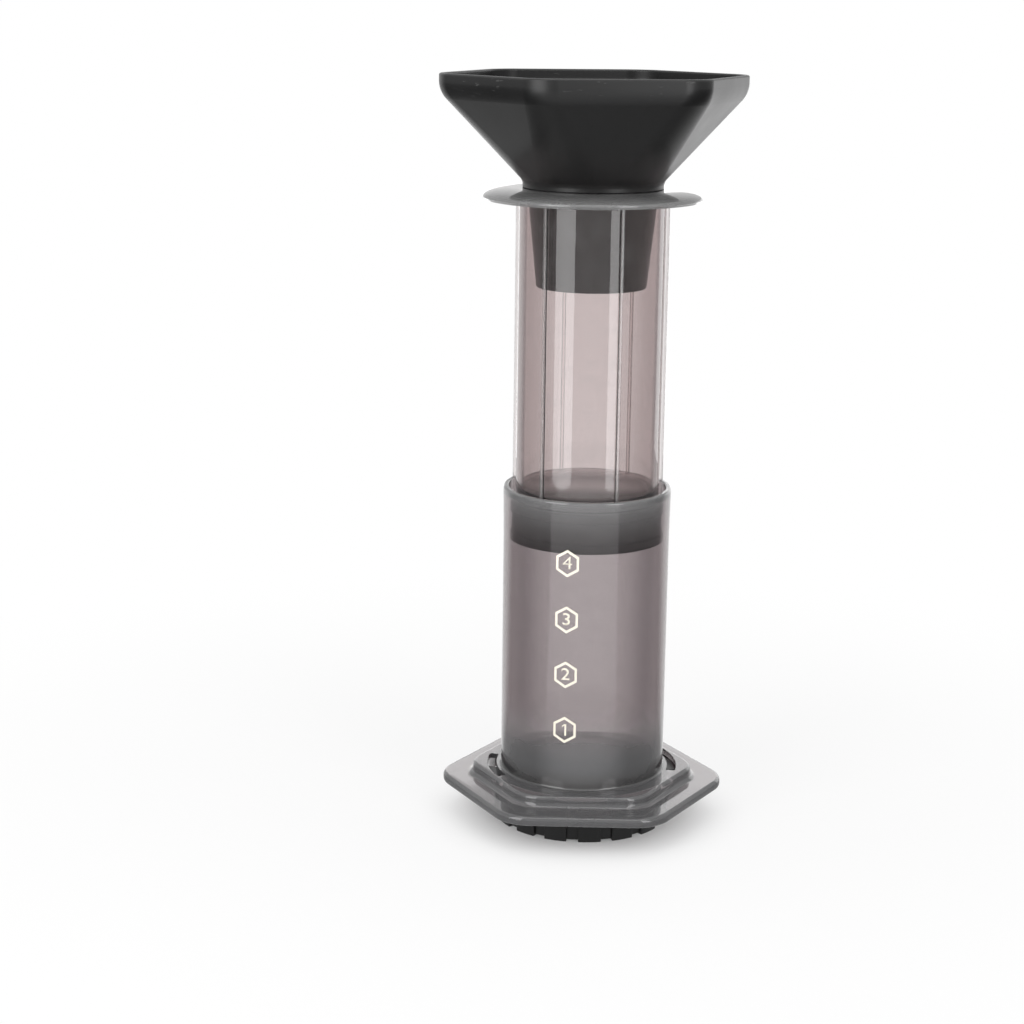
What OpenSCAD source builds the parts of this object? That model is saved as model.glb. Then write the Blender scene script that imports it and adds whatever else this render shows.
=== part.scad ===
// Hand coffee press, in millimetres.
// A chamber with a hexagonal flange stands on its twist-on filter cap. A ribbed plunger with a
// rubber seal slides in the chamber, and a hexagonal funnel rests in the top of the plunger.
// The axis of the press is Z, the table is z = 0 and the front is -Y.
// A direction round the axis is an angle from the front towards the right.

/* [Chamber] */
// Inside diameter of the chamber
bore_d = 61; // [56:0.5:66]
// Wall thickness of the chamber
chamber_wall = 2.5; // [2:0.1:3.5]
// Height from the lower rim, which presses on the filter, to the mouth
chamber_h = 128.2; // [120:0.1:150]
// Radial flare of the outside at the mouth
mouth_flare = 0.3; // [0.1:0.1:1]
// Height over which the outside flares
flare_h = 20; // [10:1:30]
// Radial lead-in of the bore at the mouth
lead_in = 0.8; // [0.2:0.1:1.2]
// Height of the lead-in
lead_in_h = 3; // [1:0.5:6]

/* [Flange] */
// Height of the underside of the flange above the lower rim
flange_lift = 3.2; // [2.5:0.1:5]
// Thickness of the hexagonal flange
flange_t = 4; // [3.5:0.1:6]
// Width of the step between the edge of the flange and the raised deck
flange_step = 10.8; // [6:0.1:14]
// Corner radius of the flange
flange_corner = 14; // [4:0.5:18]
// Height of the raised deck above the flange
deck_h = 4.6; // [4:0.1:7]
// Thickness of the deck over the lock
deck_t = 2; // [1.5:0.1:3]
// Least wall between the lock and the sides of the deck
deck_wall = 1.6; // [1.2:0.1:3]
// Corner radius of the deck
deck_corner = 14; // [5:0.5:18]
// Radius of the rounded edges of flange and deck
edge_r = 1.5; // [0.5:0.1:1.7]
// Radius of the fillet at the foot of the deck
deck_root_r = 2; // [1:0.1:3]
// Radius of the fillet at the foot of the tube
tube_root_r = 0.8; // [0.4:0.1:1.8]

/* [Lock] */
// Number of lugs round the cap, each with its slot and ledge
lug_count = 2; // [2:1:3]
// Radial reach of a lug beyond the collar of the cap
lug_reach = 3.4; // [2:0.1:4.5]
// Thickness of a lug
lug_t = 2.6; // [1.5:0.1:3]
// Angle that a lug spans
lug_deg = 28; // [20:1:35]
// Angle that a slot and the ledge under it span
slot_deg = 42; // [38:1:55]
// Direction of the leading end of the first slot
slot_dir = -60; // [-80:1:-50]
// Angle of the stop at the leading end of a ledge
stop_deg = 4; // [2:1:8]
// Angle between a locked lug and its stop
stop_play = 1; // [0.5:0.1:3]
// Gap between the moving faces of the lock
lock_gap = 0.4; // [0.2:0.05:0.6]
// Height of the ledges above the underside of the flange
ledge_lift = 0.4; // [0.2:0.1:1]
// Width of a slot
slot_w = 3.7; // [2.5:0.1:4]
// Land between a slot and the sides of the lock
slot_land = 0.2; // [0.2:0.1:0.6]
// Height of the collar above its lugs
collar_lip = 0.3; // [0.2:0.1:0.6]

/* [Filter cap] */
// Height of the underside of the perforated floor above the table
foot_h = 6.8; // [4.5:0.1:9]
// Thickness of the perforated floor
floor_t = 2; // [1.2:0.1:3]
// Radial gap between the collar and the chamber
collar_gap = 0.25; // [0.15:0.05:0.5]
// Wall thickness of the collar
collar_wall = 1.7; // [1.5:0.1:2.5]
// Wall thickness of the foot ring, out to the collar
foot_wall = 4; // [2.5:0.1:6]
// Number of grip blocks round the foot
block_count = 16; // [10:1:20]
// Angle that a grip block spans
block_deg = 15; // [8:0.5:16]
// Radial step of a grip block beyond the collar
block_step = 0.5; // [0.2:0.1:1]
// Depth of the grooves between the grip blocks
groove_depth = 1.1; // [0.6:0.1:1.5]
// Height of the notches between the grip blocks at the table
notch_h = 0.7; // [0.4:0.1:3.5]
// Diameter of the drain holes
hole_d = 2; // [1.2:0.1:2.5]
// Spacing of the rings of drain holes
hole_pitch = 5; // [4:0.1:7]
// Land between the outer ring of drain holes and the bore
hole_land = 4; // [3:0.5:8]

/* [Paper filter] */
// Thickness of the paper filter
paper_t = 0.3; // [0.2:0.05:0.6]
// Overlap of the paper filter under the lower rim of the chamber
paper_lap = 1.25; // [0.5:0.05:2]
// Gap between the paper filter and the lower rim of the chamber
seat_gap = 0.1; // [0.05:0.05:0.3]

/* [Plunger] */
// Depth of the foot of the plunger below the mouth of the chamber
rest_depth = 5.1; // [4:0.1:108]
// Length of the plunger from its foot on the seal to its top
plunger_len = 122.1; // [115:0.1:150]
// Wall thickness of the plunger
plunger_wall = 2.2; // [1.5:0.1:3]
// Thickness of the closed foot of the plunger
plunger_floor = 2.5; // [1.5:0.1:4]
// Number of guide ribs along the plunger
rib_count = 6; // [3:1:9]
// Direction of the first rib
rib_dir = 22.5; // [0:0.5:60]
// Height of a rib above the tube
rib_h = 1.4; // [0.8:0.1:2]
// Width of a rib
rib_w = 1.2; // [0.8:0.1:2]
// Gap between the ribs and the bore
rib_gap = 0.6; // [0.3:0.1:1]
// Reach of the brim beyond the tube
brim_reach = 14.1; // [8:0.1:20]
// Height of the domed top of the brim above its edge
brim_rise = 3.6; // [2.5:0.1:6]
// Thickness of the brim at the tube
brim_t = 2; // [1.5:0.1:2.4]
// Thickness of the brim at its edge
brim_edge = 1; // [0.6:0.1:1.5]
// Width of the flat ring round the top of the tube
brim_land = 0.5; // [0.2:0.1:2]

/* [Seal] */
// Height of the seal
seal_h = 16; // [12:0.1:22]
// Gap between the lips of the seal and the bore
seal_gap = 0.1; // [0.05:0.05:0.3]
// Height of a sealing lip
lip_h = 3.5; // [2:0.1:4.5]
// Depth of the waist between the lips
waist_depth = 0.8; // [0.4:0.1:1.5]
// Rounding of the lower edge of the seal
sole_r = 1.5; // [0.5:0.1:2]
// Thickness of the seal below the hub of the plunger
sole_t = 7; // [4:0.1:7.5]
// Distance of the hub from the inside of the plunger
hub_inset = 4.3; // [3:0.1:8]
// Height of the head of the hub
hub_head_h = 4; // [2:0.1:4.5]
// Undercut that holds the seal on the hub
hub_groove = 3; // [1:0.1:5]
// Gap between the hub and the seal
hub_gap = 0.1; // [0.05:0.05:0.3]

/* [Funnel] */
// Width of the funnel across the flats
funnel_af = 107.5; // [90:0.5:130]
// Corner radius of the rim
funnel_corner = 14; // [6:0.5:24]
// Direction of the flat that faces the front
funnel_turn = 10; // [-30:1:30]
// Wall thickness of the funnel
funnel_wall = 2; // [1.4:0.1:3]
// Height of the upright band under the rim
band_h = 6.8; // [6:0.1:14]
// Rounding of the corner between the band and the cone
band_round = 4; // [1:0.1:4.5]
// Height of the sloping walls
cone_h = 33.5; // [25:0.1:50]
// Height of the neck
neck_h = 2.6; // [2:0.1:6]
// Overlap of the neck on the top of the plunger
neck_lap = 0.9; // [0.5:0.1:1.8]
// Rounding of the rim
rim_r = 0.8; // [0.3:0.1:0.9]
// Length of the spigot
spigot_len = 38.1; // [20:0.1:60]
// Gap between the spigot and the inside of the plunger
spigot_gap = 1; // [0.5:0.1:2]
// Narrowing of the spigot's radius towards its end
spigot_taper = 3.9; // [0.5:0.1:6]
// Wall thickness of the spigot
spigot_wall = 1.8; // [1.2:0.1:2.5]

/* [Hidden] */
$fn = 96;

// Extra length of a cutter past the face that it opens, and depth of a root inside its carrier
over = 1;
root = 0.5;
// Steps in a quarter turn of a rounded edge, and round a corner of a hexagon
edge_steps = 3;
corner_steps = 10;
// Corner radius of a hexagon that has closed up to a circle, as a share of its apothem
round_share = 0.995;
// Turn of a hexagon with a flat to the front
hex_turn = 30;

// Heights, from the table up
z_floor = foot_h + floor_t;
z_paper = z_floor + paper_t;
z_rim = z_paper + seat_gap;
z_flange = z_rim + flange_lift;
z_step = z_flange + flange_t;
z_deck = z_step + deck_h;
z_ceiling = z_deck - deck_t;
z_collar = z_ceiling - lock_gap;
z_lug_top = z_collar - collar_lip;
z_lug = z_lug_top - lug_t;
z_mouth = z_rim + chamber_h;
z_foot = z_mouth - rest_depth;
z_sole = z_foot - seal_h;
z_hub = z_sole + sole_t;
z_top = z_foot + plunger_len;
z_cone = z_top + neck_h;
z_band = z_cone + cone_h;
z_lip = z_band + band_h;

// Radii, from the bore outwards
bore_r = bore_d / 2;
body_r = bore_r + chamber_wall;
collar_in_r = body_r + collar_gap;
collar_r = collar_in_r + collar_wall;
block_r = collar_r + block_step;
groove_r = block_r - groove_depth;
ledge_r = collar_r + lock_gap;
lug_r = collar_r + lug_reach;
recess_r = lug_r + lock_gap;
deck_a = recess_r + deck_wall;
flange_a = deck_a + flange_step;

// Radii, from the bore inwards
seal_r = bore_r - seal_gap;
rib_r = bore_r - rib_gap;
tube_r = rib_r - rib_h;
tube_in_r = tube_r - plunger_wall;
hub_r = tube_in_r - hub_inset;
hub_neck_r = hub_r - hub_groove;
brim_r = tube_r + brim_reach;
land_r = tube_r + brim_land;
neck_r = tube_in_r + neck_lap;
spigot_r = tube_in_r - spigot_gap;
spigot_end_r = spigot_r - spigot_taper;

// Points of a hexagon with rounded corners: apothem a, corner radius r, height z
function hex_ring(a, r, z, turn) = [
    for (k = [0:5], i = [0:corner_steps])
        let (middle = turn + 60 * k + 30, angle = middle - 30 + 60 * i / corner_steps)
        [(a - r) / cos(30) * cos(middle) + r * cos(angle),
         (a - r) / cos(30) * sin(middle) + r * sin(angle), z]
];

// Levels [apothem, corner radius, height] that round the corner at b between a and c
function blend(a, b, c) = [
    for (i = [0:2 * edge_steps])
        let (t = i / (2 * edge_steps))
        (1 - t) * (1 - t) * a + 2 * t * (1 - t) * b + t * t * c
];

// Solid skinned over rounded hexagons, from the lowest level to the highest
module hex_loft(levels, turn) {
    rings = [for (l = levels) hex_ring(l[0], l[1], l[2], turn)];
    n = len(rings[0]);
    last = (len(levels) - 1) * n;
    sides = [
        for (j = [0:len(levels) - 2], i = [0:n - 1])
            let (k = (i + 1) % n)
            [j * n + i, j * n + n + i, j * n + n + k, j * n + k]
    ];
    polyhedron(
        [for (ring = rings) each ring],
        concat([[for (i = [0:n - 1]) i]], sides, [[for (i = [n - 1:-1:0]) last + i]])
    );
}

// Straight prism over a rounded hexagon
module hex_prism(a, r, z, h, turn) {
    translate([0, 0, z])
        linear_extrude(h)
            polygon([for (p = hex_ring(a, r, 0, turn)) [p[0], p[1]]]);
}

// Outline swept round the axis, from one direction to another
module arc_sweep(from, to) {
    rotate(from - 90)
        rotate_extrude(angle = to - from)
            children();
}

// Block between two radii and two heights, from one direction round to another
module arc_block(r1, r2, z1, z2, from, to) {
    arc_sweep(from, to)
        translate([r1, z1])
            square([r2 - r1, z2 - z1]);
}

// One copy of the child for each lug of the lock
module at_each_lug() {
    for (i = [0:lug_count - 1])
        rotate(i * 360 / lug_count)
            children();
}

// Level of an outline that is drawn in by d
function drawn_in(a, r, d, z) = [a - d, r - d, z];

// Upper edge of a hexagonal plate, rounded over from its side to its top at height z
function top_edge(a, r, z) = [
    for (i = [0:edge_steps])
        let (t = 90 * i / edge_steps)
        drawn_in(a, r, edge_r * (1 - cos(t)), z - edge_r * (1 - sin(t)))
];

// Lower edge of a hexagonal plate, rounded out from near its underside at height z to its side
function low_edge(a, r, z) = [
    for (i = [1:edge_steps])
        let (t = 90 * i / edge_steps)
        drawn_in(a, r, edge_r * (1 - sin(t)), z + edge_r * (1 - cos(t)))
];

// Fillet that runs up from a plate at height z to the side of a smaller hexagon on it
function foot_fillet(a, r, z) = [
    for (i = [0:edge_steps])
        let (t = 90 * i / edge_steps)
        drawn_in(a, r, deck_root_r * (sin(t) - 1), z + deck_root_r * (1 - cos(t)))
];

// Flange with its raised deck, hollow underneath for the lock
module flange() {
    slot_r = recess_r - slot_land;
    difference() {
        union() {
            hex_prism(flange_a - edge_r, flange_corner - edge_r, z_flange, edge_r, hex_turn);
            hex_loft(
                concat(
                    low_edge(flange_a, flange_corner, z_flange),
                    top_edge(flange_a, flange_corner, z_step),
                    foot_fillet(deck_a, deck_corner, z_step),
                    top_edge(deck_a, deck_corner, z_deck)
                ),
                hex_turn
            );
        }
        translate([0, 0, z_flange - over])
            cylinder(h = z_ceiling - z_flange + over, r = recess_r);
        at_each_lug()
            arc_block(
                slot_r - slot_w, slot_r, z_ceiling - over, z_deck + over,
                slot_dir - slot_deg, slot_dir - stop_play / 2
            );
    }
}

// Tube of the chamber before boring, with the fillet at its foot on the deck
module chamber_tube() {
    fillet = [
        for (i = [0:edge_steps])
            let (t = 90 * i / edge_steps)
            [body_r + tube_root_r * (1 - sin(t)), z_deck + tube_root_r * (1 - cos(t))]
    ];
    rotate_extrude()
        polygon(concat(
            [
                [0, z_rim],
                [body_r, z_rim],
                [body_r, z_deck - root],
                [body_r + tube_root_r, z_deck - root]
            ],
            fillet,
            [[body_r, z_mouth - flare_h], [body_r + mouth_flare, z_mouth], [0, z_mouth]]
        ));
}

// Bore with its lead-in at the mouth
module chamber_bore() {
    rotate_extrude()
        polygon([
            [0, z_rim - over],
            [bore_r, z_rim - over],
            [bore_r, z_mouth - lead_in_h],
            [bore_r + lead_in, z_mouth],
            [bore_r + lead_in, z_mouth + over],
            [0, z_mouth + over]
        ]);
}

// Chamber: tube, flange, and the ledges and stops that lock the cap
module chamber() {
    color([0.46, 0.43, 0.43])
        difference() {
            union() {
                flange();
                chamber_tube();
                at_each_lug() {
                    arc_block(
                        ledge_r, recess_r + root, z_flange + ledge_lift, z_lug - lock_gap,
                        slot_dir - slot_deg, slot_dir + stop_deg / 2
                    );
                    arc_block(
                        ledge_r + slot_land, recess_r + root / 2, z_flange + 2 * ledge_lift, z_ceiling + root,
                        slot_dir, slot_dir + stop_deg
                    );
                }
            }
            chamber_bore();
        }
}

// Rings of drain holes through the floor of the cap
module drain_holes() {
    rings = floor((bore_r - hole_land) / hole_pitch);
    for (k = [0:rings])
        for (i = [0:max(6 * k, 1) - 1])
            rotate(i * 360 / max(6 * k, 1))
                translate([k * hole_pitch, 0, foot_h - over])
                    cylinder(h = floor_t + 2 * over, d = hole_d);
}

// Filter cap: perforated floor, collar with lugs, and a foot ring with grip blocks
module filter_cap() {
    foot_in_r = collar_r - foot_wall;
    grip_top = z_flange - lock_gap;
    color([0.09, 0.09, 0.09])
        difference() {
            union() {
                rotate_extrude()
                    polygon([
                        [0, foot_h],
                        [foot_in_r, foot_h],
                        [foot_in_r, notch_h],
                        [groove_r, notch_h],
                        [groove_r, grip_top - root],
                        [collar_r, grip_top - root],
                        [collar_r, z_collar],
                        [collar_in_r, z_collar],
                        [collar_in_r, z_floor],
                        [0, z_floor]
                    ]);
                for (i = [0:block_count - 1])
                    rotate((i + 0.25) * 360 / block_count)
                        arc_sweep(-block_deg / 2, block_deg / 2)
                            polygon([
                                [foot_in_r + root, 0],
                                [block_r, 0],
                                [block_r, grip_top],
                                [groove_r - root, grip_top],
                                [groove_r - root, notch_h + root],
                                [foot_in_r + root, notch_h + root]
                            ]);
                at_each_lug()
                    arc_block(
                        collar_r - root, lug_r, z_lug, z_lug_top,
                        slot_dir - stop_play - lug_deg, slot_dir - stop_play
                    );
            }
            drain_holes();
        }
}

// Paper filter on the floor of the cap
module paper_filter() {
    color([0.93, 0.92, 0.89])
        translate([0, 0, z_floor])
            cylinder(h = paper_t, r = bore_r + paper_lap);
}

// Points of a domed curve from (r1, z1) at the top out to (r2, z2) at the edge
function dome(r1, z1, r2, z2) = [
    for (i = [0:3 * edge_steps])
        let (t = 90 * i / (3 * edge_steps))
        [r1 + (r2 - r1) * sin(t), z2 + (z1 - z2) * cos(t)]
];

// Tube of the plunger, closed at its foot, with the hub below and the domed brim on top
module plunger_tube() {
    z_edge = z_top - brim_rise;
    top = dome(land_r, z_top, brim_r, z_edge);
    under = dome(tube_r, z_top - brim_t, brim_r - brim_edge, z_edge - brim_edge);
    rotate_extrude()
        polygon(concat(
            [
                [0, z_hub],
                [hub_r, z_hub],
                [hub_r, z_hub + hub_head_h],
                [hub_neck_r, z_hub + hub_head_h],
                [hub_neck_r, z_foot],
                [tube_r, z_foot]
            ],
            under,
            [for (i = [len(top) - 1:-1:0]) top[i]],
            [[tube_in_r, z_top], [tube_in_r, z_foot + plunger_floor], [0, z_foot + plunger_floor]]
        ));
}

// Guide rib with a sloping lower end, let into the tube and the brim
module guide_rib() {
    rotate([90, 0, 0])
        linear_extrude(rib_w, center = true)
            polygon([
                [tube_r - root, z_foot + root],
                [tube_r, z_foot + root],
                [rib_r, z_foot + root + rib_h],
                [rib_r, z_top - brim_t + root],
                [tube_r - root, z_top - brim_t + root]
            ]);
}

// Plunger: tube with brim and hub, and its guide ribs
module plunger() {
    color([0.62, 0.57, 0.56]) {
        plunger_tube();
        for (i = [0:rib_count - 1])
            rotate(rib_dir - 90 + i * 360 / rib_count)
                guide_rib();
    }
}

// Rubber seal: two lips with a waist between them, snapped over the hub
module plunger_seal() {
    waist_r = seal_r - waist_depth;
    color([0.16, 0.16, 0.16])
        rotate_extrude()
            polygon([
                [0, z_sole],
                [seal_r - sole_r, z_sole],
                [seal_r, z_sole + sole_r],
                [seal_r, z_sole + lip_h],
                [waist_r, z_sole + lip_h + waist_depth],
                [waist_r, z_foot - lip_h - waist_depth],
                [seal_r, z_foot - lip_h],
                [seal_r, z_foot],
                [hub_neck_r + hub_gap, z_foot],
                [hub_neck_r + hub_gap, z_hub + hub_head_h + hub_gap],
                [hub_r + hub_gap, z_hub + hub_head_h + hub_gap],
                [hub_r + hub_gap, z_hub - hub_gap],
                [0, z_hub - hub_gap]
            ]);
}

// Levels of a wall of the funnel, from the round neck to the hexagonal rim
function funnel_wall_levels(neck, band) =
    let (slope = (band - neck) * band_round / (band[2] - neck[2]))
    concat(
        [[neck[0], neck[1], z_top]],
        blend([neck[0], neck[1], z_top + neck_h / 2], neck, neck + slope / 2),
        blend(band - slope, band, band + [0, 0, band_round])
    );

// Solid body of the funnel
module funnel_outside() {
    rim_a = funnel_af / 2;
    neck = [neck_r, neck_r * round_share, z_cone];
    band = [rim_a, funnel_corner, z_band];
    rim = [
        for (i = [0:edge_steps])
            let (t = 90 * i / edge_steps)
            drawn_in(rim_a, funnel_corner, rim_r * (1 - cos(t)), z_lip - rim_r * (1 - sin(t)))
    ];
    hex_loft(concat(funnel_wall_levels(neck, band), rim), hex_turn + funnel_turn);
    rotate_extrude()
        polygon([
            [0, z_top - spigot_len],
            [spigot_end_r - spigot_wall / 2, z_top - spigot_len],
            [spigot_end_r, z_top - spigot_len + spigot_wall / 2],
            [spigot_r, z_top],
            [spigot_r, z_top + root],
            [0, z_top + root]
        ]);
}

// Hollow of the funnel, from the rim down through the spigot
module funnel_inside() {
    cone_run = funnel_af / 2 - neck_r;
    slant_wall = funnel_wall * norm([cone_run, cone_h]) / cone_h;
    throat_r = neck_r - slant_wall;
    mouth_a = funnel_af / 2 - funnel_wall;
    mouth_r = funnel_corner - funnel_wall;
    neck = [throat_r, throat_r * round_share, z_cone];
    band = [mouth_a, mouth_r, z_band + (slant_wall - funnel_wall) * cone_h / cone_run];
    hex_loft(
        concat(funnel_wall_levels(neck, band), [[mouth_a, mouth_r, z_lip + over]]),
        hex_turn + funnel_turn
    );
    rotate_extrude()
        polygon([
            [0, z_top - spigot_len - over],
            [spigot_end_r - spigot_wall, z_top - spigot_len - over],
            [spigot_end_r - spigot_wall, z_top - spigot_len],
            [spigot_r - spigot_wall, z_top],
            [spigot_r - spigot_wall, z_top + root],
            [0, z_top + root]
        ]);
}

// Loading funnel
module funnel() {
    color([0.11, 0.11, 0.11])
        difference() {
            funnel_outside();
            funnel_inside();
        }
}

chamber();
filter_cap();
paper_filter();
plunger();
plunger_seal();
funnel();
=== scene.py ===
"""Hand coffee press: a smoky chamber on a hexagonal flange, a ribbed plunger, a twist-on cap and a funnel.

Lengths of the pieces are written in millimetres, and MM turns them into metres. Directions round the press
are degrees from its front towards the right, and the front is -Y.
"""
from collections import Counter
from math import atan2, cos, degrees, hypot, pi, radians, sin, tan

import bpy
from mathutils import Matrix, Vector


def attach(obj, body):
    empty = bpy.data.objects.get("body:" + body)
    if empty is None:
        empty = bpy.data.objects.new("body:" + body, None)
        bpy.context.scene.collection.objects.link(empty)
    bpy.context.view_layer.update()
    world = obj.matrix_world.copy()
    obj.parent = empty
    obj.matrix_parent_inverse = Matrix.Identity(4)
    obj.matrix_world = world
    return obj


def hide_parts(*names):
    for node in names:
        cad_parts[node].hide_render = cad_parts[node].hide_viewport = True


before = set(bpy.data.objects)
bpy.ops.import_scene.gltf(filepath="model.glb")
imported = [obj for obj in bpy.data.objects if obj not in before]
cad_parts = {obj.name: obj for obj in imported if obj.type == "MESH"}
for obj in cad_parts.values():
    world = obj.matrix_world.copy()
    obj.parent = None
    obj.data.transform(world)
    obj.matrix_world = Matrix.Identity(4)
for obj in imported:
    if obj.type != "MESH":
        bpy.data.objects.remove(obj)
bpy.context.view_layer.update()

MM = 0.001
NEAR = 0.01 * MM
COLUMNS = 144  # faces round a turned piece
ARC_STEP = 15  # degrees between the points of a rounding

# Heights above the table
Z_NOTCH, Z_FLOOR, Z_PAPER, Z_RIM = 0.7, 8.8, 9.1, 9.2
Z_FLANGE, Z_STEP, Z_CEILING, Z_DECK = 12.4, 16.4, 19.0, 21.0
Z_LUG, Z_LUG_TOP, Z_COLLAR = 15.7, 18.3, 18.6
Z_MOUTH, Z_SOLE, Z_HUB, Z_HUB_TOP, Z_FOOT = 137.4, 116.3, 123.3, 127.3, 132.3
Z_SPOUT, Z_BRIM, Z_TOP, Z_CONE, Z_BAND, Z_LIP = 216.3, 250.8, 254.4, 257.0, 290.5, 297.3

# Radii of the chamber, the cap and the plunger, and half widths across the flats of the hexagons
BORE, BODY, SLOT_IN, SLOT_OUT, LEDGE, RECESS = 30.5, 33.0, 34.85, 38.55, 35.35, 38.75
DECK_FLAT, FLANGE_FLAT, HEX_CORNER = 40.35, 51.15, 14.0
FOOT_IN, GROOVE, COLLAR_IN, COLLAR, BLOCK, LUG = 30.95, 34.35, 33.25, 34.95, 35.45, 38.35
PAPER, TUBE_IN, TUBE, RIB, SEAL, HUB, HUB_NECK = 31.75, 26.3, 28.5, 29.9, 30.4, 22.0, 19.0
BRIM, LAND, NECK, SPIGOT, SPIGOT_END = 42.6, 29.0, 27.2, 25.3, 21.4
FUNNEL_FLAT, FUNNEL_TURN = 53.75, 10

# Lock: direction of the leading end of the first slot, and angles of slot, lug and stop
LOCKS, SLOT_DIR, SLOT_DEG, LUG_DEG, STOP_DEG, STOP_PLAY = 2, -60, 42, 28, 4, 1

# Grip blocks and guide ribs: their number, the direction of the first one and half its angle
BLOCKS, BLOCK_DIR, BLOCK_HALF = 16, 5.625, 7.5
RIBS, RIB_DIR, RIB_HALF = 6, 22.5, 1.3

# Drain holes: number of rings with the one in the middle, distance of the rings, and radius of a hole
HOLE_RINGS, HOLE_PITCH, HOLE = 6, 5, 1

# Level marks: heights, direction, radius and line of the hexagon, and thickness and gap of the ink
LEVELS, LEVEL_DIR = (45.8, 68.4, 90.7, 113.3), -12.7
MARK, MARK_LINE, INK, INK_GAP = 5.45, 1.0, 0.03, 0.04

# Camera, in metres and radians
CAMERA_PLACE = (-0.0071106, -0.834194, 0.325779)
CAMERA_TURN, CAMERA_DIP, CAMERA_ROLL = 0.0271, 0.23542, 0.01203
LENS, SENSOR = 75.69, 36

# Lamps: direction, distance, height and aimed height in metres, size in metres, and power in watts
LAMPS = {
    "left_strip": (-41, 0.6, 0.39, 0.39, (0.33, 0.76), 2.7),
    "right_strip": (38, 0.6, 0.39, 0.39, (0.22, 0.76), 1.8),
    "right_rim": (153, 0.65, 0.185, 0.185, (0.59, 0.35), 0.65),
    "left_rim": (-168, 0.65, 0.14, 0.14, (0.25, 0.26), 0.19),
    "top_soft": (0, 0.3, 1.8, 0, (1.5, 1.5), 10.5),
}


# Shaping tools

def only(piece):
    """Select one piece and make it active."""
    bpy.ops.object.select_all(action="DESELECT")
    piece.select_set(True)
    bpy.context.view_layer.objects.active = piece


def begin(name):
    """Name the primitive that was just added, and open it for editing."""
    piece = bpy.context.object
    piece.name = piece.data.name = name
    bpy.ops.object.mode_set(mode="EDIT")
    bpy.ops.mesh.select_mode(type="VERT")
    return piece


def close():
    """Leave edit mode."""
    bpy.ops.object.mode_set(mode="OBJECT")


def pick(piece, test, kind="FACE"):
    """In edit mode, select the faces, edges or vertices whose middle and direction pass a test."""
    bpy.ops.mesh.select_mode(type=kind)
    bpy.ops.mesh.select_all(action="DESELECT")
    bpy.ops.object.mode_set(mode="OBJECT")
    mesh = piece.data
    if kind == "FACE":
        for face in mesh.polygons:
            face.select = test(face.center / MM, face.normal)
    elif kind == "EDGE":
        for edge in mesh.edges:
            a, b = (mesh.vertices[i].co for i in edge.vertices)
            edge.select = test((a + b) / 2 / MM, (b - a).normalized())
    else:
        for vertex in mesh.vertices:
            vertex.select = test(vertex.co / MM, vertex.normal)
    bpy.ops.object.mode_set(mode="EDIT")


def weld(piece):
    """Merge what lies together and turn all faces outwards."""
    only(piece)
    bpy.ops.object.mode_set(mode="EDIT")
    bpy.ops.mesh.select_all(action="SELECT")
    bpy.ops.mesh.remove_doubles(threshold=NEAR)
    bpy.ops.mesh.normals_make_consistent(inside=False)
    close()


def rounded(corners, closed=False):
    """Points of an outline of (radius, height, rounding) corners, in millimetres."""
    points = []
    last = len(corners) - 1
    for i, (r, z, rounding) in enumerate(corners):
        here = Vector((r, z))
        if rounding == 0 or not closed and i in (0, last):
            points.append(here)
            continue
        back = (Vector(corners[i - 1][:2]) - here).normalized()
        on = (Vector(corners[(i + 1) % (last + 1)][:2]) - here).normalized()
        half = back.angle(on) / 2
        middle = here + (back + on).normalized() * rounding / sin(half)
        start = here + back * rounding / tan(half) - middle
        end = here + on * rounding / tan(half) - middle
        sweep = pi - 2 * half
        steps = max(2, round(degrees(sweep) / ARC_STEP))
        for k in range(steps + 1):
            share = sweep * k / steps
            points.append(middle + (start * sin(sweep - share) + end * sin(share)) / sin(sweep))
    return points


def draw(name, points, turn=0.0, closed=False):
    """Draw an outline of (radius, height) points as a chain of edges in a plane through the axis."""
    bpy.ops.object.select_all(action="DESELECT")
    bpy.ops.mesh.primitive_plane_add(size=MM)
    piece = begin(name)
    bpy.ops.mesh.merge(type="CENTER")
    path = [Vector((r * cos(turn), r * sin(turn), z)) * MM for r, z in points]
    bpy.ops.transform.translate(value=path[0])
    for here, there in zip(path, path[1:]):
        bpy.ops.mesh.extrude_region_move(TRANSFORM_OT_translate={"value": there - here})
    if closed:
        bpy.ops.mesh.select_all(action="SELECT")
        bpy.ops.mesh.edge_face_add()
    bpy.ops.mesh.select_all(action="SELECT")
    return piece


def lathe(name, corners, turn=0.0):
    """Spin an outline of (radius, height, rounding) corners right round the axis."""
    piece = draw(name, rounded(corners), turn)
    bpy.ops.mesh.spin(steps=COLUMNS, angle=2 * pi, center=(0, 0, 0), axis=(0, 0, 1))
    close()
    weld(piece)
    return piece


def sector(name, corners, start, end):
    """Block with an outline of (radius, height, rounding) corners, swept from one direction to another."""
    piece = draw(name, rounded(corners, True), radians(end - 90), closed=True)
    steps = max(2, round((end - start) * COLUMNS / 360))  # spin turns clockwise, back to the start
    bpy.ops.mesh.spin(steps=steps, angle=radians(end - start), center=(0, 0, 0), axis=(0, 0, 1))
    close()
    weld(piece)
    return piece


def around(piece, count):
    """Repeat a piece round the axis inside its own mesh."""
    only(piece)
    bpy.ops.object.mode_set(mode="EDIT")
    bpy.ops.mesh.select_all(action="SELECT")
    bpy.ops.mesh.spin(
        steps=count - 1, dupli=True, angle=2 * pi * (count - 1) / count, center=(0, 0, 0), axis=(0, 0, 1)
    )
    close()


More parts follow.
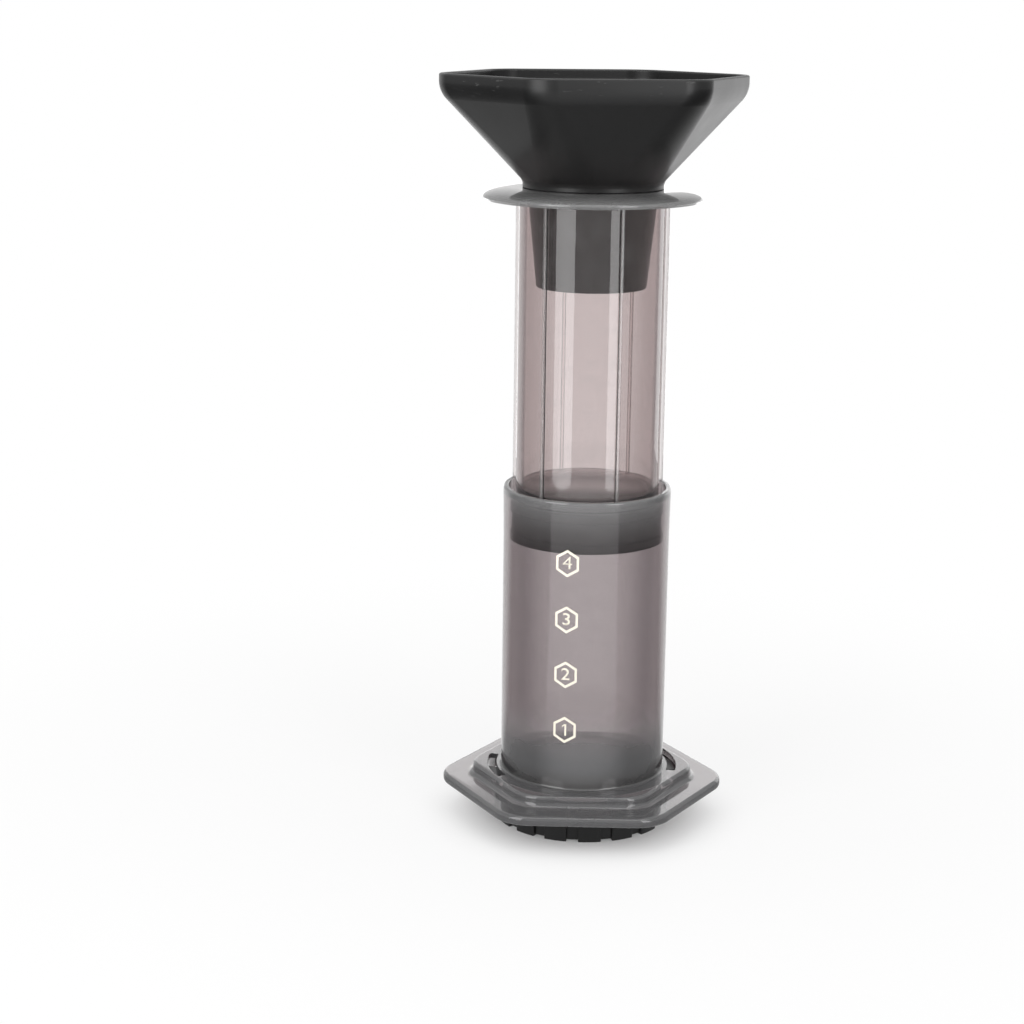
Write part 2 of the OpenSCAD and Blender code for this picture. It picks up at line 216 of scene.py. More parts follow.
def hexagon_skin(name, corners, turn=0.0):
    """Open skin of stacked hexagons with rounded corners, along a (half width, height, rounding) outline."""
    levels = rounded(corners)
    width, base = levels[0]
    bpy.ops.object.select_all(action="DESELECT")
    bpy.ops.mesh.primitive_circle_add(vertices=6, radius=width / cos(pi / 6) * MM, fill_type="NGON")
    piece = begin(name)
    bpy.ops.mesh.bevel(
        offset=HEX_CORNER * tan(pi / 6) * MM, segments=COLUMNS // 6 - 1, affect="VERTICES", profile=0.5
    )
    bpy.ops.mesh.select_all(action="SELECT")
    bpy.ops.mesh.delete(type="ONLY_FACE")
    bpy.ops.mesh.select_all(action="SELECT")
    bpy.ops.transform.rotate(value=-radians(30 + turn), orient_axis="Z", center_override=(0, 0, 0))
    bpy.ops.transform.translate(value=(0, 0, base * MM))
    for (a, z), (b, up) in zip(levels, levels[1:]):
        bpy.ops.mesh.extrude_region_move(TRANSFORM_OT_translate={"value": (0, 0, (up - z) * MM)})
        bpy.ops.transform.resize(value=(b / a, b / a, 1), center_override=(0, 0, up * MM))
    close()
    return piece


def join(piece, *others):
    """Join other pieces into one."""
    only(piece)
    for other in others:
        other.select_set(True)
    bpy.ops.object.join()


def bridge(piece, low, high, cuts=0):
    """Bridge the open loops of a piece that lie at two heights."""
    only(piece)
    bpy.ops.object.mode_set(mode="EDIT")
    bpy.ops.mesh.select_mode(type="EDGE")
    bpy.ops.mesh.select_all(action="DESELECT")
    bpy.ops.object.mode_set(mode="OBJECT")
    mesh = piece.data
    uses = Counter(key for face in mesh.polygons for key in face.edge_keys)
    for edge in mesh.edges:
        ends = [mesh.vertices[i].co.z for i in edge.vertices]
        at = any(all(abs(z - level * MM) < NEAR for z in ends) for level in (low, high))
        edge.select = at and uses[edge.key] == 1
    bpy.ops.object.mode_set(mode="EDIT")
    bpy.ops.mesh.bridge_edge_loops(number_cuts=cuts, interpolation="LINEAR")
    close()


def soften(piece, test, width, segments):
    """Bevel the edges of a piece that pass a test."""
    only(piece)
    bpy.ops.object.mode_set(mode="EDIT")
    pick(piece, test, "EDGE")
    bpy.ops.mesh.bevel(offset=width * MM, segments=segments, affect="EDGES", clamp_overlap=True)
    close()


def carve(piece, tool, operation):
    """Add a tool piece to a piece, or cut it out, and use the tool up."""
    modifier = piece.modifiers.new("Carve", "BOOLEAN")
    modifier.object = tool
    modifier.operation = operation
    modifier.solver = "EXACT"
    only(piece)
    bpy.ops.object.modifier_apply(modifier=modifier.name)
    bpy.data.objects.remove(tool)
    weld(piece)


def smooth(piece):
    """Smooth shading with flat faces kept flat."""
    only(piece)
    bpy.ops.object.shade_smooth_by_angle(angle=radians(35))
    modifier = piece.modifiers.new("Flats", "WEIGHTED_NORMAL")
    modifier.keep_sharp = True
    modifier.weight = 80
    bpy.ops.object.modifier_apply(modifier=modifier.name)


def radius(point):
    """Distance of a point from the axis."""
    return hypot(point.x, point.y)


def upright(direction):
    """True for an edge along the axis."""
    return abs(direction.z) > 0.9


# Pieces

def make_chamber():
    """Chamber: tube, deck and flange in one skin, with the slots, ledges and stops of the lock."""
    flare, flare_z = BODY + 0.3, Z_MOUTH - 20
    lead_in, lead_z = BORE + 0.8, Z_MOUTH - 3
    chamber = lathe("chamber_body_moulding", [
        (BODY + 2.5, Z_DECK, 0),
        (BODY, Z_DECK, 0.8),
        (BODY, flare_z, 150),
        (flare, Z_MOUTH, 0.8),
        (lead_in, Z_MOUTH, 0.5),
        (BORE, lead_z, 4),
        (BORE, Z_RIM, 0.4),
        (BODY, Z_RIM, 0.6),
        (BODY, Z_CEILING, 0.5),
        (RECESS, Z_CEILING, 0.5),
        (RECESS, Z_FLANGE, 0.4),
        (RECESS + 1.5, Z_FLANGE, 0),
    ])
    plate = hexagon_skin("flange_plate", [
        (FLANGE_FLAT - 3, Z_FLANGE, 0),
        (FLANGE_FLAT, Z_FLANGE, 1.5),
        (FLANGE_FLAT, Z_STEP, 1.6),
        (FLANGE_FLAT - 3, Z_STEP, 0),
    ])
    deck = hexagon_skin("raised_deck", [
        (DECK_FLAT + 3, Z_STEP, 0),
        (DECK_FLAT, Z_STEP, 2),
        (DECK_FLAT, Z_DECK, 1.5),
        (DECK_FLAT - 2.5, Z_DECK, 0),
    ])
    join(chamber, plate, deck)
    for level in (Z_FLANGE, Z_STEP, Z_DECK):  # the skins end on these flats
        bridge(chamber, level, level)
    weld(chamber)

    slot_low, slot_top = Z_CEILING - 1, Z_DECK + 1
    slots = sector("slot_cutter", [
        (SLOT_IN, slot_low, 0),
        (SLOT_OUT, slot_low, 0),
        (SLOT_OUT, slot_top, 0),
        (SLOT_IN, slot_top, 0),
    ], SLOT_DIR - SLOT_DEG, SLOT_DIR - STOP_PLAY / 2)
    soften(slots, lambda p, d: upright(d), 0.8, 4)
    around(slots, LOCKS)
    carve(chamber, slots, "DIFFERENCE")

    ledge_low, ledge_top, ledge_root = Z_FLANGE + 0.4, Z_LUG - 0.4, RECESS + 0.5
    ledges = sector("lock_ledge", [
        (LEDGE, ledge_low, 0.4),
        (ledge_root, ledge_low, 0),
        (ledge_root, ledge_top, 0),
        (LEDGE, ledge_top, 0.4),
    ], SLOT_DIR - SLOT_DEG, SLOT_DIR + STOP_DEG / 2)
    around(ledges, LOCKS)
    carve(chamber, ledges, "UNION")

    stop, stop_low, stop_top, stop_root = LEDGE + 0.2, Z_FLANGE + 0.8, Z_CEILING + 0.5, RECESS + 0.25
    stops = sector("lock_stop", [
        (stop, stop_low, 0.4),
        (stop_root, stop_low, 0),
        (stop_root, stop_top, 0),
        (stop, stop_top, 0),
    ], SLOT_DIR, SLOT_DIR + STOP_DEG)
    around(stops, LOCKS)
    carve(chamber, stops, "UNION")
    smooth(chamber)
    return chamber


def make_cap():
    """Filter cap: perforated floor, collar with two lugs, and a foot ring with sixteen grip blocks."""
    underside, grip_top = Z_FLOOR - 2, Z_FLANGE - 0.4
    ring_top = grip_top - 0.5
    cap = lathe("cap_moulding", [
        (0, underside, 0),
        (FOOT_IN, underside, 0.5),
        (FOOT_IN, Z_NOTCH, 0.3),
        (GROOVE, Z_NOTCH, 0.3),
        (GROOVE, ring_top, 0.2),
        (COLLAR, ring_top, 0.2),
        (COLLAR, Z_COLLAR, 0.3),
        (COLLAR_IN, Z_COLLAR, 0.3),
        (COLLAR_IN, Z_FLOOR, 0.5),
        (0, Z_FLOOR, 0),
    ])
    root_in, root_out, root_low = FOOT_IN + 0.5, GROOVE - 0.5, Z_NOTCH + 0.5
    blocks = sector("grip_block", [
        (root_in, 0, 0),
        (BLOCK, 0, 0),
        (BLOCK, grip_top, 0),
        (root_out, grip_top, 0),
        (root_out, root_low, 0),
        (root_in, root_low, 0),
    ], BLOCK_DIR - BLOCK_HALF, BLOCK_DIR + BLOCK_HALF)
    soften(blocks, lambda p, d: radius(p) > BLOCK - 0.1 or p.z < 0.1, 0.45, 3)
    around(blocks, BLOCKS)
    carve(cap, blocks, "UNION")

    lug_root = COLLAR - 0.5
    lugs = sector("lock_lug", [
        (lug_root, Z_LUG, 0),
        (LUG, Z_LUG, 0.5),
        (LUG, Z_LUG_TOP, 0.5),
        (lug_root, Z_LUG_TOP, 0),
    ], SLOT_DIR - STOP_PLAY - LUG_DEG, SLOT_DIR - STOP_PLAY)
    around(lugs, LOCKS)
    carve(cap, lugs, "UNION")
    carve(cap, make_drain_cutter(), "DIFFERENCE")
    smooth(cap)
    return cap


def make_drain_cutter():
    """Pins for the drain holes: one in the middle and the rings round it."""
    rings = []
    for ring in range(HOLE_RINGS):
        bpy.ops.object.select_all(action="DESELECT")
        bpy.ops.mesh.primitive_cylinder_add(vertices=20, radius=HOLE * MM, depth=4 * MM)
        pin = begin("drain_pin")
        bpy.ops.transform.translate(value=(HOLE_PITCH * ring * MM, 0, (Z_FLOOR - 1) * MM))
        close()
        if ring:
            around(pin, 6 * ring)
        rings.append(pin)
    join(*rings)
    return rings[0]


def make_paper():
    """Round paper filter on the floor of the cap."""
    paper = lathe("paper_disc", [
        (0, Z_FLOOR, 0),
        (PAPER, Z_FLOOR, 0.1),
        (PAPER, Z_PAPER, 0.1),
        (0, Z_PAPER, 0),
    ])
    smooth(paper)
    return paper


def dome(r1, z1, r2, z2, steps=14):
    """Curve from (r1, z1) at the top out to (r2, z2) at the edge of the brim."""
    turns = [pi / 2 * i / steps for i in range(steps + 1)]
    return [(r1 + (r2 - r1) * sin(t), z2 + (z1 - z2) * cos(t), 0) for t in turns]


def make_plunger():
    """Plunger: closed tube with a hub below, a domed brim on top and six guide ribs."""
    floor, rib_foot, rib_end = Z_FOOT + 2.5, Z_FOOT + 0.9, Z_TOP - 2.3
    plunger = lathe("plunger_moulding", [
        (0, Z_HUB, 0),
        (HUB, Z_HUB, 0.6),
        (HUB, Z_HUB_TOP, 0.5),
        (HUB_NECK, Z_HUB_TOP, 0.3),
        (HUB_NECK, Z_FOOT, 0.3),
        (TUBE, Z_FOOT, 0.8),
        (TUBE, rib_foot, 0),
        (TUBE, rib_end, 0),
        *dome(TUBE, Z_TOP - 2, BRIM - 1, Z_BRIM - 1),
        *dome(LAND, Z_TOP, BRIM, Z_BRIM)[::-1],
        (TUBE_IN, Z_TOP, 0.6),
        (TUBE_IN, floor, 3),
        (0, floor, 0),
    ], pi / COLUMNS)

    def on_rib(point):
        pitch = 360 / RIBS
        place = degrees(atan2(point.y, point.x)) + 90 - RIB_DIR
        return abs((place + pitch / 2) % pitch - pitch / 2) < RIB_HALF

    def on_wall(point):
        return on_rib(point) and rib_foot < point.z < rib_end and abs(radius(point) - TUBE) < 0.1

    def on_crest(point):
        return on_rib(point) and abs(radius(point) - RIB) < 0.05

    only(plunger)
    bpy.ops.object.mode_set(mode="EDIT")
    pick(plunger, lambda p, d: on_wall(p))
    bpy.ops.mesh.extrude_region_move()
    bpy.ops.transform.resize(value=(RIB / TUBE, RIB / TUBE, 1), center_override=(0, 0, 0))
    pick(plunger, lambda p, d: on_crest(p) and p.z < rib_foot + 0.1, "VERT")
    bpy.ops.transform.translate(value=(0, 0, (RIB - TUBE) * MM))
    close()
    soften(plunger, lambda p, d: on_crest(p) and upright(d), 0.3, 3)
    smooth(plunger)
    return plunger


def make_seal():
    """Rubber seal: two lips with a waist between them, over the hub of the plunger."""
    lip, waist, play = 3.5, 0.8, 0.1
    seal = lathe("rubber_seal", [
        (0, Z_SOLE, 0),
        (SEAL, Z_SOLE, 1.5),
        (SEAL, Z_SOLE + lip, 0.5),
        (SEAL - waist, Z_SOLE + lip + waist, 0.5),
        (SEAL - waist, Z_FOOT - lip - waist, 0.5),
        (SEAL, Z_FOOT - lip, 0.5),
        (SEAL, Z_FOOT, 0.7),
        (HUB_NECK + play, Z_FOOT, 0.3),
        (HUB_NECK + play, Z_HUB_TOP + play, 0.2),
        (HUB + play, Z_HUB_TOP + play, 0.4),
        (HUB + play, Z_HUB - play, 0.5),
        (0, Z_HUB - play, 0),
    ])
    smooth(seal)
    return seal


def make_funnel():
    """Loading funnel: hexagonal hopper with a rounded rim, round neck and tapered spigot."""
    wall, throat, bowl = 1.8, NECK - 2.6, FUNNEL_FLAT - 2
    z_throat, z_bowl = Z_CONE + 0.3, Z_BAND + 0.7
    funnel = lathe("funnel_moulding", [
        (NECK, Z_CONE, 0),
        (NECK, Z_TOP, 0.4),
        (SPIGOT, Z_TOP, 0.2),
        (SPIGOT_END, Z_SPOUT, 0.7),
        (SPIGOT_END - wall, Z_SPOUT, 0.5),
        (SPIGOT - wall, Z_TOP + 0.8, 1),
        (throat, z_throat, 0),
    ])
    band = hexagon_skin("funnel_band", [
        (FUNNEL_FLAT, Z_BAND, 0),
        (FUNNEL_FLAT, Z_LIP, 0.8),
        (bowl, Z_LIP, 0.8),
        (bowl, z_bowl, 0),
    ], FUNNEL_TURN)
    join(funnel, band)
    for low, high in ((Z_CONE, Z_BAND), (z_throat, z_bowl)):
        bridge(funnel, low, high, cuts=11)
    weld(funnel)
    for level, width, segments in ((Z_BAND, 4, 6), (z_bowl, 3, 6), (Z_CONE, 1.2, 3)):
        soften(funnel, lambda p, d: abs(p.z - level) < 0.01 and abs(d.z) < 0.1, width, segments)
    smooth(funnel)
    return funnel


def make_one():
    """Numeral 1: an upright stroke with a flag at its top."""
    width, tall, right, flag_low = 0.8, 4.8, 0.35, 1.7

    def on_left(point, direction):
        return point.x < right - 0.15 and abs(direction.y) > 0.9

    bpy.ops.mesh.primitive_plane_add(size=MM)
    numeral = begin("level_numeral")
    bpy.ops.transform.resize(value=(width, tall, 1), center_override=(0, 0, 0))
    bpy.ops.transform.translate(value=(right * MM, 0, 0))
    pick(numeral, on_left, "EDGE")
    bpy.ops.mesh.subdivide(number_cuts=7)
    pick(numeral, lambda p, d: on_left(p, d) and p.y > flag_low, "EDGE")
    bpy.ops.mesh.extrude_region_move(TRANSFORM_OT_translate={"value": (-1.0 * MM, -0.75 * MM, 0)})
    close()
    return numeral


def make_numeral(number):
    """Flat numeral in the middle of a level mark."""
    bpy.ops.object.select_all(action="DESELECT")
    if number == 1:
        return make_one()
    size, boldness = (7.0, -0.04) if number == 4 else (6.5, 0.05)  # keeps the eye of the 4 open
    bpy.ops.object.text_add()
    numeral = bpy.context.object
    numeral.data.body = str(number)
    numeral.data.size = size * MM
    numeral.data.offset = boldness * MM
    numeral.data.align_x = numeral.data.align_y = "CENTER"
    numeral.scale = (1.22, 1.05, 1)
    only(numeral)
    bpy.ops.object.convert(target="MESH")
    bpy.ops.object.transform_apply(location=False, rotation=False, scale=True)
    return bpy.context.object


def make_level_marks(chamber):
    """Four printed hexagons with numerals, wrapped on the front of the chamber."""
    marks = []
    for number, z in enumerate(LEVELS, 1):
        bpy.ops.object.select_all(action="DESELECT")
        bpy.ops.mesh.primitive_circle_add(vertices=6, radius=MARK * MM, fill_type="NGON")
        ring = begin("level_ring")
        bpy.ops.mesh.inset(thickness=MARK_LINE * MM, depth=0)
        bpy.ops.mesh.delete(type="FACE")
        bpy.ops.mesh.select_all(action="SELECT")
        bpy.ops.mesh.subdivide(number_cuts=5)
        close()
        join(ring, make_numeral(number))
        ring.matrix_world = (
            Matrix.Rotation(radians(LEVEL_DIR), 4, "Z")
            @ Matrix.Translation((0, -(BODY + 1) * MM, z * MM))
            @ Matrix.Rotation(pi / 2, 4, "X")
        )
        only(ring)
        bpy.ops.object.transform_apply(location=True, rotation=True, scale=True)
        marks.append(ring)
    join(*marks)
    print_layer = marks[0]
    print_layer.name = print_layer.data.name = "level_marks"
    wrap = print_layer.modifiers.new("Wrap", "SHRINKWRAP")
    wrap.target = chamber
    wrap.wrap_method = "NEAREST_SURFACEPOINT"
    wrap.wrap_mode = "ABOVE_SURFACE"
    wrap.offset = INK_GAP * MM
    film = print_layer.modifiers.new("Film", "SOLIDIFY")
    film.thickness = INK * MM
    only(print_layer)
    bpy.ops.object.modifier_apply(modifier=wrap.name)
    bpy.ops.object.modifier_apply(modifier=film.name)
    return print_layer


# Materials

class Value:
    """A number, colour or shader in a material. Arithmetic on a number adds Math nodes."""

    def __init__(self, finish, socket):
        self.finish = finish
        self.socket = socket

    def math(self, operation, other):
        return self.finish.math(operation, self, other)

    def __add__(self, other):
        return self.math("ADD", other)

    def __sub__(self, other):
        return self.math("SUBTRACT", other)

    def __rsub__(self, other):
        return self.finish.math("SUBTRACT", other, self)

    def __mul__(self, other):
        return self.math("MULTIPLY", other)

    __radd__ = __add__
    __rmul__ = __mul__


class Finish:
    """A material, or the surround, under construction."""

    def __init__(self, name, owners=bpy.data.materials):
        self.owner = owners.new(name)
        self.owner.use_nodes = True
        self.tree = self.owner.node_tree
        self.tree.nodes.clear()
        self.place = self.node("ShaderNodeTexCoord", {}, {}, "Object")
        axes = self.node("ShaderNodeSeparateXYZ", {}, {0: self.place}).socket.node.outputs
        self.right, self.back, self.height = (Value(self, axis) for axis in axes)
        flat = self.node("ShaderNodeVectorMath", {"operation": "MULTIPLY"}, {0: self.place, 1: (1, 1, 0)})
        self.reach = self.node("ShaderNodeVectorMath", {"operation": "LENGTH"}, {0: flat}, "Value")

    def node(self, kind, settings, inputs, output=0):
        """Add a node, with its settings first and then the values or links of its sockets."""
        node = self.tree.nodes.new(kind)
        for name, setting in settings.items():
            setattr(node, name, setting)
        for name, value in inputs.items():
            if isinstance(value, Value):
                self.tree.links.new(value.socket, node.inputs[name])
            else:
                node.inputs[name].default_value = value
        return Value(self, node.outputs[output])

    def math(self, operation, a, b):
        """Result of a Math node."""
        return self.node("ShaderNodeMath", {"operation": operation}, {0: a, 1: b})

    def noise(self, size, detail=3.0, stretch=(1, 1, 1), roughness=0.5):
        """Noise with features of a size in millimetres, stretched along the axes."""
        scale = [1 / s for s in stretch]
        place = self.node("ShaderNodeMapping", {}, {"Vector": self.place, "Scale": scale})
        return self.node(
            "ShaderNodeTexNoise", {},
            {"Vector": place, "Scale": 1 / (size * MM), "Detail": detail, "Roughness": roughness}, "Fac",
        )

    def fade(self, value, low, high):
        """0 where a value is under low, 1 over high, and smooth between."""
        return self.node(
            "ShaderNodeMapRange", {"interpolation_type": "SMOOTHSTEP"},
            {"Value": value, "From Min": low, "From Max": high},
        )

    def tint(self, share, a, b):
        """Colour that goes from a to b with a share."""
        a, b = (colour if isinstance(colour, Value) else (*colour, 1) for colour in (a, b))
        return self.node("ShaderNodeMix", {"data_type": "RGBA"}, {0: share, 6: a, 7: b}, 2)

    def slant(self):
        """0 where the surface is seen straight on, and 1 where it is seen along itself."""
        return self.node("ShaderNodeLayerWeight", {}, {"Blend": 0.5}, "Facing")

    def bump(self, height, depth):
        """Normal of a surface with a relief of a depth in millimetres."""
        return self.node("ShaderNodeBump", {}, {"Height": height, "Distance": depth * MM, "Strength": 1.0})

    def shader(self, **inputs):
        """Principled shader with the given sockets."""
        return self.node(
            "ShaderNodeBsdfPrincipled", {}, {name.replace("_", " "): value for name, value in inputs.items()}
        )

    def blend(self, share, a, b):
        """Mix of two shaders."""
        return self.node("ShaderNodeMixShader", {}, {0: share, 1: a, 2: b})

    def rays(self, kind, *others):
        """1 for the rays of any of these kinds."""
        share = self.node("ShaderNodeLightPath", {}, {}, f"Is {kind} Ray")
        for other in others:
            share = share.math("MAXIMUM", self.rays(other))
        return share

    def done(self, surface, depth=None, kind="Material"):
        """Put the shaders on the material or the surround."""
        out = self.tree.nodes.new(f"ShaderNodeOutput{kind}")
        self.tree.links.new(surface.socket, out.inputs["Surface"])
        if depth:
            self.tree.links.new(depth.socket, out.inputs["Volume"])
        return self.owner


def grey(level):
    """Neutral colour."""
    return (level, level, level)


def see_through(finish, *, depth, density, edge, edge_end, film, share, line=0.0, dull=0.0):
    """Tinted see-through moulding: the tint lies in its depth, and a milky film on its surface, outwards,
    whose colour also carries the painted shade that callers give it.

    It takes the edge colour at slants up to edge_end. Where line is 1, it is darker at the steeper ones.
    """
    ior = 1.57
    flow = finish.noise(18, 2, (1, 1, 4))
    hairlines = finish.noise(0.5, 2, (1, 1, 30))
    handling = finish.fade(finish.noise(6, 4), 0.45, 0.75)
    relief = finish.bump(flow + hairlines * 0.03, 0.02)
    slant = finish.slant()
    edged = finish.fade(slant, 0.05, 0.4) * (1 - 0.9 * finish.fade(slant, edge_end - 0.2, edge_end))
    lined = line * finish.fade(slant, 0.5, 0.58) * (1 - 0.8 * finish.fade(slant, 0.68, 0.85))
    clear = finish.shader(
        Base_Color=finish.tint(lined, finish.tint(edged, grey(1), edge), (0.34, 0.33, 0.34)),
        Roughness=0.02 + 0.04 * handling + 0.02 * hairlines,
        IOR=ior, Transmission_Weight=1.0, Normal=relief,
    )
    milky = finish.shader(
        Base_Color=film, Roughness=0.05 + 0.06 * handling + dull, IOR=ior, Normal=relief
    )
    outwards = 1 - finish.node("ShaderNodeNewGeometry", {}, {}, "Backfacing")
    surface = finish.blend((share + 0.04 * handling) * outwards, clear, milky)
    smoke = finish.node("ShaderNodeVolumeAbsorption", {}, {"Color": (*depth, 1), "Density": density})
    return finish.done(surface, smoke)


def smoke_plastic():
    """Smoky chamber, milky in its flange and towards its mouth, and with a milky film at the foot of its tube
    that is painted dark as shade: darker towards the bottom, where the tube meets the deck, and at its sides.
    """
    finish = Finish("smoke_plastic")
    outside = finish.fade(finish.reach, 31.5 * MM, 32.5 * MM)
    flange = finish.fade(finish.reach, 33.2 * MM, 34 * MM)
    tube = 1 - flange
    # painted shade: the film turns near black low on the tube, where it meets the deck
    root_shade = (1 - finish.fade(finish.height, 20 * MM, 31 * MM)) * tube
    low = 1 - finish.fade(finish.height, 30 * MM, 46 * MM)
    foot = (1 - finish.fade(finish.height, 33 * MM, 57 * MM)) * outside
    below = finish.fade(finish.height, 116 * MM, 138 * MM)
    mouth = finish.fade(finish.height, 132 * MM, 138 * MM)
    # painted shade: the film over the foot of the tube is darker towards the bottom, and the share of it
    # grows there
    film = finish.tint(low, (0.25, 0.235, 0.24), (0.13, 0.13, 0.134))
    film = finish.tint(root_shade, film, grey(0.07))
    # painted shade: the film at the foot of the tube is darker at its sides, where it is seen at a slant
    film = finish.tint(0.42 * foot * finish.fade(finish.slant(), 0.06, 0.25), film, grey(0))
    film = finish.tint(flange, film, (0.175, 0.175, 0.18))
    film = finish.tint(below, film, (0.40, 0.40, 0.405))
    share = 0.04 + foot * tube * (0.7 + 0.17 * low) + 0.42 * flange
    share = share + (0.06 * mouth + 0.25 * below) * outside
    return see_through(
        finish, depth=(0.42, 0.335, 0.345), density=330, edge=(0.66, 0.65, 0.66), edge_end=0.62,
        film=film, share=share,
    )


def clear_plastic():
    """Lighter plunger, milky in its brim and ribs, and rougher on its floor, whose film is painted shade at
    the front and painted light towards the back.
    """
    finish = Finish("clear_plastic")
    inside = 1 - finish.fade(finish.reach, 26.6 * MM, 27.4 * MM)
    floor = (1 - finish.fade(finish.height, 134.5 * MM, 139 * MM)) * inside
    brim = finish.fade(finish.height, 248 * MM, 251 * MM)
    rib = finish.fade(finish.reach, 28.7 * MM, 29.3 * MM) * (1 - brim)
    # painted shade and painted light on the floor of the plunger: its film is dark at the front and light at
    # the back
    film = finish.tint(finish.fade(finish.back, -8 * MM, 12 * MM), grey(0.05), (0.80, 0.75, 0.76))
    film = finish.tint(inside, grey(0.42), film)
    film = finish.tint(brim, film, grey(0.33))
    return see_through(
        finish, depth=(0.55, 0.41, 0.40), density=270, edge=(0.82, 0.81, 0.81), edge_end=0.74,
        film=film, share=0.03 + 0.47 * brim + 0.87 * floor + 0.25 * rib, line=1 - inside, dull=0.4 * floor,
    )


def black_plastic():
    """Satin black moulding with a fine grain, and light scuffs along the rim of the funnel."""
    finish = Finish("black_plastic")
    grain = finish.noise(0.45, 2)
    cloud = finish.noise(22, 3)
    scuffs = finish.fade(finish.noise(2.2, 5, (3, 3, 0.6), 0.65), 0.62, 0.72)
    worn = scuffs * finish.fade(finish.height, 288 * MM, 295 * MM)
    return finish.done(finish.shader(
        Base_Color=finish.tint(worn, (0.006, 0.006, 0.0062), grey(0.06)),
        Roughness=0.31 + 0.12 * cloud + 0.15 * worn,
        Specular_IOR_Level=0.4,
        Normal=finish.bump(grain * 0.02 + cloud + worn * 0.6, 0.04),
    ))


def seal_rubber():
    """Soft dark grey rubber with a dull bloom."""
    finish = Finish("seal_rubber")
    grain = finish.noise(0.6, 3)
    bloom = finish.noise(7, 4)
    return finish.done(finish.shader(
        Base_Color=finish.tint(bloom, (0.054, 0.054, 0.055), (0.084, 0.083, 0.082)),
        Roughness=0.5 + 0.2 * bloom,
        Normal=finish.bump(grain, 0.03),
    ))


def filter_paper():
    """White filter paper with fibres and a soft crepe."""
    finish = Finish("filter_paper")
    fibre = finish.noise(0.5, 5, (3, 1, 1), 0.7)
    crepe = finish.noise(2.5, 2, (1, 4, 1))
    return finish.done(finish.shader(
        Base_Color=finish.tint(fibre, (0.80, 0.77, 0.71), (0.90, 0.88, 0.84)),
        Roughness=0.85 + 0.1 * fibre,
        Normal=finish.bump(fibre * 0.4 + crepe, 0.12),
    ))


def gold_print():
    """Printed pale gold ink, slightly uneven."""
    finish = Finish("gold_print")
    ink = finish.noise(0.8, 4)
    return finish.done(finish.shader(
        Base_Color=finish.tint(ink, (0.84, 0.77, 0.64), (0.93, 0.88, 0.77)),
        Roughness=0.3 + 0.2 * ink,
        Metallic=0.15,
        Normal=finish.bump(ink, 0.02),
    ))


# Assembly

def wear(piece, material, body, node=None):
    """Give a piece its material and slot, and its place in the press."""
    piece.data.materials.clear()
    piece.data.materials.append(material)
    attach(piece, body)
    if node:
        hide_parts(node)


smoke, clear, black = smoke_plastic(), clear_plastic(), black_plastic()
chamber = make_chamber()
wear(chamber, smoke, "chamber_body", "chamber")
wear(make_level_marks(chamber), gold_print(), "chamber_body")
wear(make_cap(), black, "cap_body", "filter_cap")
wear(make_paper(), filter_paper(), "cap_body", "paper_filter")
wear(make_plunger(), clear, "plunger_body", "plunger")
wear(make_seal(), seal_rubber(), "plunger_body", "plunger_seal")
wear(make_funnel(), black, "funnel_body", "funnel")


# Studio

def lit_table(finish):
    """Painted reflection of the table in the gloss of the press, a glow that is no lamp: bright in front and
    behind, and dim at the sides.
    """
    bearing = finish.right.math("ARCTAN2", -1 * finish.back)
    front = finish.fade(bearing, radians(-51), radians(-46))
    front = front * (1 - finish.fade(bearing, radians(41), radians(46)))
    front = front * finish.fade(finish.reach, 0.03, 0.3) * (1 - 0.5 * finish.fade(finish.reach, 0.6, 1.5))
    behind = finish.fade(bearing.math("ABSOLUTE", 0), radians(115), radians(140))
    near = 0.45 * (1 - finish.fade(finish.reach, 0.1, 0.18))
    rest = 0.12 + 0.88 * near.math("MAXIMUM", behind)
    light = finish.tint(front.math("MAXIMUM", rest), grey(0), grey(1))
    return finish.node("ShaderNodeEmission", {}, {"Color": light, "Strength": 1.0})


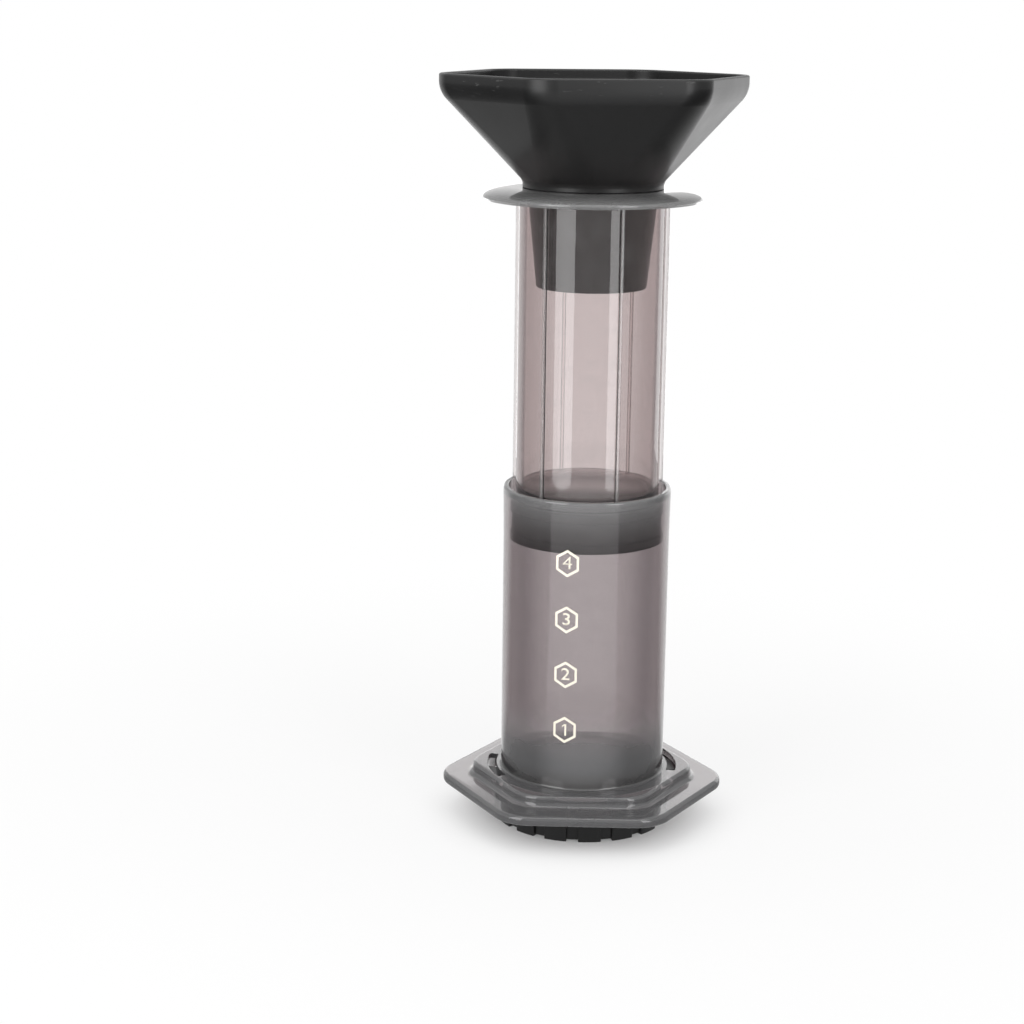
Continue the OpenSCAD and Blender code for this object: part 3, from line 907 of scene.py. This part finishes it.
def make_floor():
    """Pale floor that looks white to the camera, keeps a soft shadow, and shows a painted reflection of a lit
    table in the gloss of the press.
    """
    bpy.ops.object.select_all(action="DESELECT")
    bpy.ops.mesh.primitive_plane_add(size=12)
    floor = bpy.context.object
    floor.name = "floor"
    finish = Finish("floor_paper")
    mottle = finish.noise(60, 2)
    plain = finish.shader(Base_Color=finish.tint(mottle, grey(0.83), grey(0.86)), Roughness=0.9)
    white = finish.node("ShaderNodeEmission", {}, {"Color": (1, 1, 1, 1), "Strength": 1.0})
    glow = 0.15 + 0.65 * finish.fade(finish.reach, 0.03, 0.07) + 0.2 * finish.fade(finish.reach, 0.07, 0.4)
    looks = finish.blend(finish.rays("Transmission", "Camera") * glow, plain, white)
    # painted reflection: only in the gloss of the press does the floor glow like a lit table
    mirrored = finish.rays("Glossy") * (1 - finish.rays("Transmission"))
    floor.data.materials.append(finish.done(finish.blend(mirrored, looks, lit_table(finish))))


def make_surround():
    """Even studio surround: white to the eye and where it is mirrored, and a soft light elsewhere."""
    finish = Finish("studio", bpy.data.worlds)
    soft = finish.node("ShaderNodeBackground", {}, {"Color": (1, 1, 1, 1), "Strength": 0.42})
    white = finish.node("ShaderNodeBackground", {}, {"Color": (1, 1, 1, 1), "Strength": 1.0})
    seen = finish.rays("Camera", "Glossy", "Transmission")
    bpy.context.scene.world = finish.done(finish.blend(seen, soft, white), kind="World")


def make_lamp(name, azimuth, distance, height, aim, size, power):
    """Softbox at a place round the press, turned to a height on its axis, and seen only in its gloss."""
    turn = radians(azimuth - 90)
    place = Vector((distance * cos(turn), distance * sin(turn), height))
    data = bpy.data.lights.new(name, "AREA")
    data.shape = "RECTANGLE"
    data.size, data.size_y = size
    data.energy = power
    lamp = bpy.data.objects.new(name, data)
    lamp.visible_camera = lamp.visible_transmission = False
    bpy.context.scene.collection.objects.link(lamp)
    facing = (Vector((0, 0, aim)) - place).to_track_quat("-Z", "Y").to_matrix().to_4x4()
    lamp.matrix_world = Matrix.Translation(place) @ facing


def make_camera():
    """Camera at the photograph's viewing angle."""
    data = bpy.data.cameras.new("camera")
    data.lens = LENS
    data.sensor_width = SENSOR
    data.clip_start = 0.01
    camera = bpy.data.objects.new("camera", data)
    bpy.context.scene.collection.objects.link(camera)
    camera.matrix_world = (
        Matrix.Translation(CAMERA_PLACE)
        @ Matrix.Rotation(CAMERA_TURN, 4, "Z")
        @ Matrix.Rotation(pi / 2 - CAMERA_DIP, 4, "X")
        @ Matrix.Rotation(CAMERA_ROLL, 4, "Z")
    )
    bpy.context.scene.camera = camera


make_floor()
make_surround()
for lamp_name, lamp_values in LAMPS.items():
    make_lamp(lamp_name, *lamp_values)
make_camera()
bpy.context.scene.view_settings.view_transform = "Standard"
